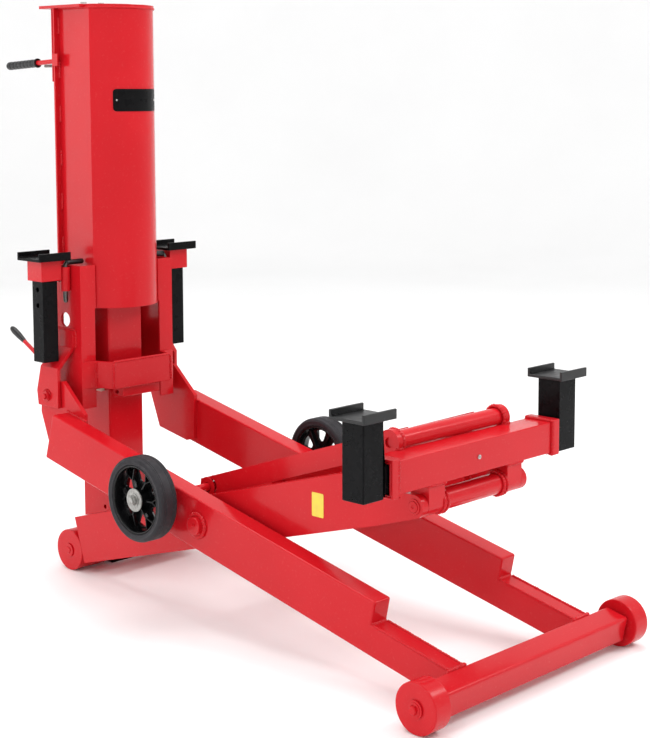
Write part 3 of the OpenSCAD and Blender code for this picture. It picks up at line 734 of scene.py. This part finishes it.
def lock_lever():
    root = Vector(joints["lock_lever"]["pos_m"])
    ahead = lever_direction(math.radians(62))
    bm = bmesh.new()
    sweep(bm, [root + ahead * d for d in (-0.004, 0.205)], 0.007, sides=24)
    sweep(bm, [root + Vector((x, 0, 0)) for x in (-0.008, 0.0, 0.008)], 0.012, sides=32)
    sweep(bm, [root + Vector((x, 0, 0)) for x in (0.007, 0.016)], 0.00595, sides=24)
    rod = finish_mesh(bm, "lock_rod", RED, "lock_lever", "red_paint")
    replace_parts(rod, "lock_lever")
    drop = [(0.0004, 0.185), (0.0075, 0.186), (0.0085, 0.195), (0.0108, 0.225), (0.0112, 0.252),
            (0.0090, 0.266), (0.0050, 0.2725), (0.0004, 0.274)]
    lathe("lock_grip", rounded(drop, 0.003, 3), axis_frame(root, ahead), GRIP, "lock_lever", "grip", 40)


def parked_pin(side):
    """Bent steel pin with a taper tip and a black sleeve on its handle."""
    node = side + "_pin"
    low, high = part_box(node)
    out = -1 if side == "left" else 1
    root = Vector(joints[side + "_pin_swing"]["pos_m"])
    bend = high.z - 0.009
    radius = 0.008
    steps = 10
    turn = 0.012
    path = [Vector((root.x, root.y, low.z)), Vector((root.x, root.y, low.z + radius))]
    path += [Vector((root.x - out * turn * (1 - math.cos(a)), root.y, bend - turn + turn * math.sin(a)))
             for a in (math.pi / 2 * k / steps for k in range(steps + 1))]
    path.append(Vector((root.x - out * 0.030, root.y, bend)))
    radii = [0.005] + [radius] * 2 + [0.0068] * (len(path) - 3)
    bm = bmesh.new()
    sweep(bm, path, radius, sides=24, radii=radii)
    bar = finish_mesh(bm, node + "_bar", DARK_STEEL, body_of[node], "bare_steel")
    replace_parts(bar, node)
    length = 0.066
    sleeve = [(0.0052, 0), (0.0084, 0), (0.0089, 0.004), (0.0085, 0.033), (0.0089, length - 0.006),
              (0.0070, length), (0.0004, length), (0.0004, length - 0.004), (0.0052, length - 0.004)]
    place = axis_frame((root.x - out * 0.004, root.y, bend), (-out, 0, 0))
    lathe(node + "_sleeve", rounded(sleeve, 0.0015, 3), place, GRIP, body_of[node], "grip", 40)


def return_spring():
    """Coil between the stop bar and the lever."""
    low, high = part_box("return_spring")
    mid = (low + high) / 2
    wire = 0.0010
    coil_r = (high.z - low.z) / 2 - wire
    turns = 15
    per_turn = 18
    steps = turns * per_turn
    length = high.y - low.y - 2 * wire
    points = [Vector((mid.x + coil_r * math.cos(2 * math.pi * k / per_turn),
                      low.y + wire + length * k / steps,
                      mid.z + coil_r * math.sin(2 * math.pi * k / per_turn))) for k in range(steps + 1)]
    bm = bmesh.new()
    sweep(bm, points, wire, sides=8)
    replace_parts(finish_mesh(bm, "return_coil", ZINC, "mast", "bare_steel"), "return_spring")


control_lever()
lock_lever()
for side in ("left", "right"):
    parked_pin(side)
return_spring()

# ------------------------------------------------------------------ weld beads

RIPPLE = 0.0090
STEP = 0.0016
COLLAR_DEPTH = 0.026


def resample(corners, closed):
    """Points every STEP along a path of straight runs."""
    runs = list(zip(corners, corners[1:] + corners[:1] if closed else corners[1:]))
    points = []
    for start, end in runs:
        count = max(2, int((end - start).length / STEP))
        points += [start.lerp(end, k / count) for k in range(count)]
    if not closed:
        points.append(corners[-1])
    return points


class Welds:
    """All the beads on one body, gathered into one mesh."""

    def __init__(self, body, material=RED, slot="red_paint"):
        self.body = body
        self.name = "welds_" + body
        self.material = material
        self.slot = slot
        self.bm = bmesh.new()

    def run(self, corners, radius=0.0042, closed=False):
        points = resample([Vector(c) for c in corners], closed)
        phase = dice.random()
        heat = 1.0
        radii = []
        for i in range(len(points)):
            wave = (i * STEP / RIPPLE + phase) % 1.0
            heat += 0.25 * (dice.uniform(0.70, 1.30) - heat)
            radii.append(1.2 * radius * heat * (0.62 + 0.52 * math.sqrt(wave)))
        if not closed:
            radii[0] = radii[-1] = radius * 0.4
        sweep(self.bm, points, radius, sides=8, closed=closed, radii=radii)

    def both(self, corners, radius=0.0042, closed=False):
        """The same bead on both sides of the centreline."""
        self.run(corners, radius, closed)
        self.run([Vector((-c[0], c[1], c[2])) for c in corners], radius, closed)

    def ring(self, mid, radius, bead=0.0042, start=0.0, sweep_angle=360.0):
        """A bead round a boss on an X axis, on both sides."""
        count = 72
        closed = sweep_angle >= 360
        angles = [math.radians(start + sweep_angle * k / count) for k in range(count + (not closed))]
        self.both([(mid[0], mid[1] + radius * math.cos(a), mid[2] + radius * math.sin(a)) for a in angles],
                  bead, closed)

    def done(self):
        bmesh.ops.recalc_face_normals(self.bm, faces=self.bm.faces)
        for face in self.bm.faces:
            face.smooth = True
        mesh = bpy.data.meshes.new(self.name)
        self.bm.to_mesh(mesh)
        self.bm.free()
        mesh.materials.append(self.material)
        piece = bpy.data.objects.new(self.name, mesh)
        bpy.context.scene.collection.objects.link(piece)
        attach(piece, self.body)


def square_loop(x, mid, half):
    """Corners of a square standing across X."""
    return [(x, mid.y + sy * half, mid.z + sz * half) for sy, sz in ((-1, -1), (1, -1), (1, 1), (-1, 1))]


def flat_loop(mid_x, mid_y, z, half_x, half_y):
    """Corners of a level rectangle."""
    return [(mid_x + sx * half_x, mid_y + sy * half_y, z) for sx, sy in ((-1, -1), (1, -1), (1, 1), (-1, 1))]


def frame_welds():
    w = Welds("main_frame")
    low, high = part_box("right_beam")
    half_tube = 0.038
    reach = -math.sqrt(FRONT_REACH ** 2 - AXLE_DROP ** 2) + half_tube
    bottom, top = -0.076, 0.010
    # Beam ends on the front cross tube
    w.both([on_frame(low.x, reach, bottom), on_frame(low.x, reach, top), on_frame(high.x, reach, top),
            on_frame(high.x, reach, bottom)], 0.0050)
    # Seams where the low front part of each beam is closed with a plate
    seam_start, seam_end, step_at = reach + 0.005, reach + 0.268, reach + 0.273
    seam_in, seam_out, seam_bead = low.x + 0.004, high.x - 0.004, 0.0032
    w.both([on_frame(seam_in, seam_start, top), on_frame(seam_in, seam_end, top)], seam_bead)
    w.both([on_frame(seam_out, seam_start, top), on_frame(seam_out, seam_end, top)], seam_bead)
    w.both([on_frame(seam_in, step_at, top), on_frame(seam_out, step_at, top)], seam_bead)
    # Pivot and axle bosses
    w.ring((high.x + 0.001, pivot.y, pivot.z), 0.0325, 0.0066)
    hub = centre("right_rim")
    w.ring((high.x, hub.y, hub.z), 0.024, 0.0040)
    # Lug plates on the beams' inner faces
    w.both([on_frame(low.x, 0.640, 0.076), on_frame(low.x, 0.742, 0.076)], 0.0045)
    w.done()


def head_welds():
    w = Welds("head")
    tube = centre("head_tube")
    half = (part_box("head_tube")[1].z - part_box("head_tube")[0].z) / 2
    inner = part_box("head_collars")[1].x - COLLAR_DEPTH
    w.both(square_loop(inner - 0.001, tube, half + 0.002), 0.0050, closed=True)
    under = tube.z - half
    lug_half_y = 0.032
    w.both(flat_loop(0.166, head_pin.y, under - 0.001, 0.033, lug_half_y + 0.001), 0.0048, closed=True)
    for x in (0.119, 0.134):
        w.ring((x, head_pin.y, head_pin.z), 0.033, 0.0038)
    top = tube.z + half
    ring_r = 0.035
    meet = link_pin.y - math.sqrt(max(ring_r ** 2 - (link_pin.z - top) ** 2, 0.0001))
    w.both([(0.210, meet, top + 0.001), (0.238, meet, top + 0.001)], 0.0045)
    for x in (0.2115, 0.2365):
        w.both([(x, meet, top), (x, tube.y + half, top)], 0.0042)
    w.ring((0.214, link_pin.y, link_pin.z), 0.0325, 0.0048)
    w.done()


def arm_welds():
    w = Welds("lift_arms")
    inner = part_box("right_arm")[0].x
    u_mid = 0.7795 - 0.076 - 0.052
    w.both([on_arms(inner, u_mid - 0.038, -0.060), on_arms(inner, u_mid - 0.038, 0.016),
            on_arms(inner, u_mid + 0.038, 0.016), on_arms(inner, u_mid + 0.038, -0.060)], 0.0045, closed=True)
    # Seam where the box section ends and the end plate goes on
    w.both([on_arms(inner, -0.634, 0.070), on_arms(inner, -0.634, -0.070)], 0.0040)
    w.both([on_arms(inner + 0.028, -0.636, -0.070), on_arms(inner + 0.028, -0.636, 0.034)], 0.0045)
    w.done()


def shroud_front(x, out=0.0):
    """Y of the shroud's rounded front at x."""
    half, bulge, flat = 0.130, 0.080, 0.160
    radius = (half * half + bulge * bulge) / (2 * bulge)
    middle = -flat / 2 - bulge + radius
    return middle - math.sqrt(max((radius + out) ** 2 - x * x, 0))


def mast_welds():
    w = Welds("mast")
    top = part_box("mast_top_plate")[0].z
    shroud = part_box("mast_shroud")
    half = shroud[1].x
    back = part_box("mast_back_plate")[0].y
    # Under the top plate, round the shroud
    steps = 40
    front = [(-half + 2 * half * k / steps, shroud_front(-half + 2 * half * k / steps), top)
             for k in range(steps + 1)]
    w.run([(-half, back, top)] + front + [(half, back, top)], 0.0036)
    # Stitches between the shroud and the back plate
    stitches = 7
    run = 0.055
    gap = (shroud[1].z - shroud[0].z - 2 * run) / (stitches - 1)
    for k in range(stitches):
        z = shroud[0].z + run / 2 + k * gap
        w.both([(half + 0.001, back - 0.001, z), (half + 0.001, back - 0.001, z + run)], 0.0042)
    # Folds and ends of the crossmember, and its latch block
    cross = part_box("crossmember")
    front_y = cross[0].y
    fold_x, fold_end_x, fold_end_y = 0.119, 0.141, -0.0985
    foot_z, crest_z = cross[0].z + 0.004, cross[1].z - 0.004
    w.both([(fold_x, front_y + 0.001, foot_z), (fold_x, front_y + 0.001, crest_z)], 0.0046)
    w.both([(fold_end_x, fold_end_y, foot_z), (fold_end_x, fold_end_y, crest_z)], 0.0046)
    w.run([(-fold_x, front_y + 0.003, cross[1].z), (fold_x, front_y + 0.003, cross[1].z)], 0.0040)
    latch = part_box("latch_block")
    w.run([(latch[0].x + 0.018, latch[0].y, latch[1].z), (latch[1].x, latch[0].y, latch[1].z)], 0.0042)
    # Ear plates on the channels
    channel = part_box("side_channels")[1].x
    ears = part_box("ear_plates")
    w.both([(channel, -0.0605, 0.740), (channel, -0.0605, ears[1].z)], 0.0042)
    w.both([(channel, -0.060, ears[1].z), (channel, 0.034, ears[1].z)], 0.0045)
    w.both([(channel, 0.034, 0.742), (channel, 0.034, ears[1].z)], 0.0042)
    w.ring((ears[1].x, ear_pin.y, ear_pin.z), 0.0185, 0.0036, 20, 140)
    # Storage collars, their brackets and the pin tubes
    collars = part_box("storage_collars")
    tube_x = joints["right_pin_swing"]["pos_m"][0]
    tube_y = joints["right_pin_swing"]["pos_m"][1]
    low_z = collars[1].z - 0.064
    bracket_x = collars[1].x - 0.078
    w.both([(bracket_x, tube_y + 0.010, low_z), (bracket_x, tube_y + 0.010, low_z + 0.038)], 0.0048)
    w.both([(channel, tube_y + 0.010, low_z), (channel, tube_y + 0.010, low_z + 0.040)], 0.0048)
    w.both([(channel, 0.026, low_z), (channel, 0.026, low_z + 0.040)], 0.0045)
    w.both([(tube_x - 0.010, tube_y + 0.010, low_z + 0.042), (tube_x + 0.018, tube_y + 0.010, low_z + 0.042)],
           0.0042)
    # Channels on the back plate
    low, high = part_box("side_channels")
    seam_x, seam_y, end_gap = channel - 0.042, back + 0.008, 0.062
    w.both([(seam_x, seam_y, low.z + end_gap), (seam_x, seam_y, high.z - end_gap)], 0.0042)
    w.done()


def column_welds():
    w = Welds("column")
    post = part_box("column_post")
    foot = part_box("column_foot")
    w.run(flat_loop(0, 0, foot[1].z, post[1].x + 0.001, post[1].y + 0.001), 0.0045, closed=True)
    w.done()


def black_welds():
    """Beads on the black saddles and adapters."""
    end_gap, lip, depth, bead = 0.004, 0.0085, 0.0165, 0.0022
    for side in ("left", "right"):
        for body in (side + "_saddle", side + "_adapter"):
            low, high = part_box(body)
            w = Welds(body, BLACK, slot="black_paint")
            z = high.z - depth
            for y in (low.y + lip, high.y - lip):
                w.run([(low.x + end_gap, y, z), (high.x - end_gap, y, z)], bead)
            w.done()


frame_welds()
head_welds()
arm_welds()
mast_welds()
column_welds()
black_welds()

# ------------------------------------------------------------------ plates and labels, all blank


def bent_plate(name, half_w, half_h, corner, thick, place, material, body, slot=None):
    """A thin plate with rounded corners. place maps (across, up, out) to a point on the object."""
    columns, rows = 18, 14
    bm = bmesh.new()
    layers = []
    for out in (0.0, thick):
        grid = []
        for r in range(rows + 1):
            up = half_h * math.sin(math.pi * (r / rows - 0.5))
            over = max(0.0, abs(up) - (half_h - corner))
            width = half_w - corner + math.sqrt(max(corner * corner - over * over, 0))
            grid.append([bm.verts.new(place(width * (2 * c / columns - 1), up, out))
                         for c in range(columns + 1)])
        layers.append(grid)
    for grid in layers:
        for r in range(rows):
            for c in range(columns):
                bm.faces.new((grid[r][c], grid[r][c + 1], grid[r + 1][c + 1], grid[r + 1][c]))
    back, front = layers
    rim = [(0, c) for c in range(columns)] + [(r, columns) for r in range(rows)]
    rim += [(rows, c) for c in range(columns, 0, -1)] + [(r, 0) for r in range(rows, 0, -1)]
    for (r0, c0), (r1, c1) in zip(rim, rim[1:] + rim[:1]):
        bm.faces.new((back[r0][c0], back[r1][c1], front[r1][c1], front[r0][c0]))
    bmesh.ops.remove_doubles(bm, verts=bm.verts, dist=1e-6)
    return finish_mesh(bm, name, material, body, slot)


def nameplate():
    """Blank plate riveted to the shroud's front."""
    mid_x, mid_z = 0.009, 1.540

    def place(across, up, out):
        x = mid_x + across
        return Vector((x, shroud_front(x, 0.0002 + out), mid_z + up))

    half_w, half_h, corner, thick, rivet_inset = 0.091, 0.036, 0.010, 0.0012, 0.010
    bent_plate("blank_nameplate", half_w, half_h, corner, thick, place, BLACK, "mast", "black_paint")
    for sign in (-1, 1):
        x = mid_x + sign * (half_w - rivet_inset)
        y = shroud_front(x, thick)
        head = [(0.0002, 0), (0.0034, 0), (0.0030, 0.0012), (0.0016, 0.0020), (0.0002, 0.0022)]
        lathe("plate_rivet_" + ("left" if sign < 0 else "right"), rounded(head, 0.0003, 2),
              axis_frame((x, y, mid_z), (0, -1, 0)), STEEL, "mast", "bare_steel", 24)


def arm_label():
    """Blank yellow label on the left arm, upright at rest."""
    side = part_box("left_arm")[0].x
    mid_u, mid_v = -0.432, 0.001

    def place(across, up, out):
        u = mid_u + across * math.cos(ARM_SLOPE) - up * math.sin(ARM_SLOPE)
        v = mid_v + across * math.sin(ARM_SLOPE) + up * math.cos(ARM_SLOPE)
        return on_arms(side - 0.0002 - out, u, v)

    bent_plate("blank_label", 0.0225, 0.034, 0.003, 0.0005, place, LABEL, "lift_arms")


nameplate()
arm_label()

# ------------------------------------------------------------------ what is left of the CAD nodes

for node, piece in nodes.items():
    if not piece.hide_render:
        piece.data.materials.clear()
        piece.data.materials.append(by_slot[slot_of[node]])

# ------------------------------------------------------------------ studio


def studio_floor():
    """Pale floor that curves up into a low wall all round."""
    flat_r, bend_r, wall_h = 9.0, 3.0, 1.5
    mid_y = (cad_low.y + cad_high.y) / 2
    profile = [(flat_r * 0.5, 0.0), (flat_r, 0.0)]
    bends = 12
    profile += [(flat_r + bend_r * math.sin(a), bend_r * (1 - math.cos(a)))
                for a in (math.pi / 2 * (k + 1) / bends for k in range(bends))]
    profile.append((flat_r + bend_r, bend_r + wall_h))
    steps = 96
    bm = bmesh.new()
    turn = 2 * math.pi / steps
    rings = [[bm.verts.new((r * math.cos(turn * k), mid_y + r * math.sin(turn * k), z))
              for k in range(steps)] for r, z in profile]
    bm.faces.new(list(rings[0]))
    for here, there in zip(rings, rings[1:]):
        for k in range(steps):
            n = (k + 1) % steps
            bm.faces.new((here[k], here[n], there[n], there[k]))
    bmesh.ops.recalc_face_normals(bm, faces=bm.faces)
    for face in bm.faces:
        face.smooth = len(face.verts) == 4
    mesh = bpy.data.meshes.new("studio_floor")
    bm.to_mesh(mesh)
    bm.free()
    mesh.materials.append(floor_paint())
    floor = bpy.data.objects.new("studio_floor", mesh)
    bpy.context.scene.collection.objects.link(floor)


def area_light(name, place, aim, size, power):
    data = bpy.data.lights.new(name, "AREA")
    data.shape = "RECTANGLE"
    data.size, data.size_y = size
    data.energy = power
    light = bpy.data.objects.new(name, data)
    bpy.context.scene.collection.objects.link(light)
    light.location = place
    light.rotation_euler = (Vector(aim) - Vector(place)).to_track_quat("-Z", "Y").to_euler()


def studio_lights():
    middle = (0, -0.8, 0.7)
    area_light("back_left", (-6.4, 4.4, 1.6), middle, (6.0, 3.8), 130)
    area_light("overhead", (0.0, 0.5, 6.5), middle, (4.5, 4.5), 230)
    area_light("front_right", (3.6, -4.6, 5.0), middle, (2.6, 2.6), 160)
    area_light("left_front", (-5.5, -3.0, 5.5), middle, (2.2, 2.2), 90)
    world = bpy.data.worlds.new("studio")
    bpy.context.scene.world = world
    world.use_nodes = True
    background = world.node_tree.nodes["Background"]
    background.inputs["Color"].default_value = (1, 1, 1, 1)
    background.inputs["Strength"].default_value = 0.85


studio_floor()
studio_lights()
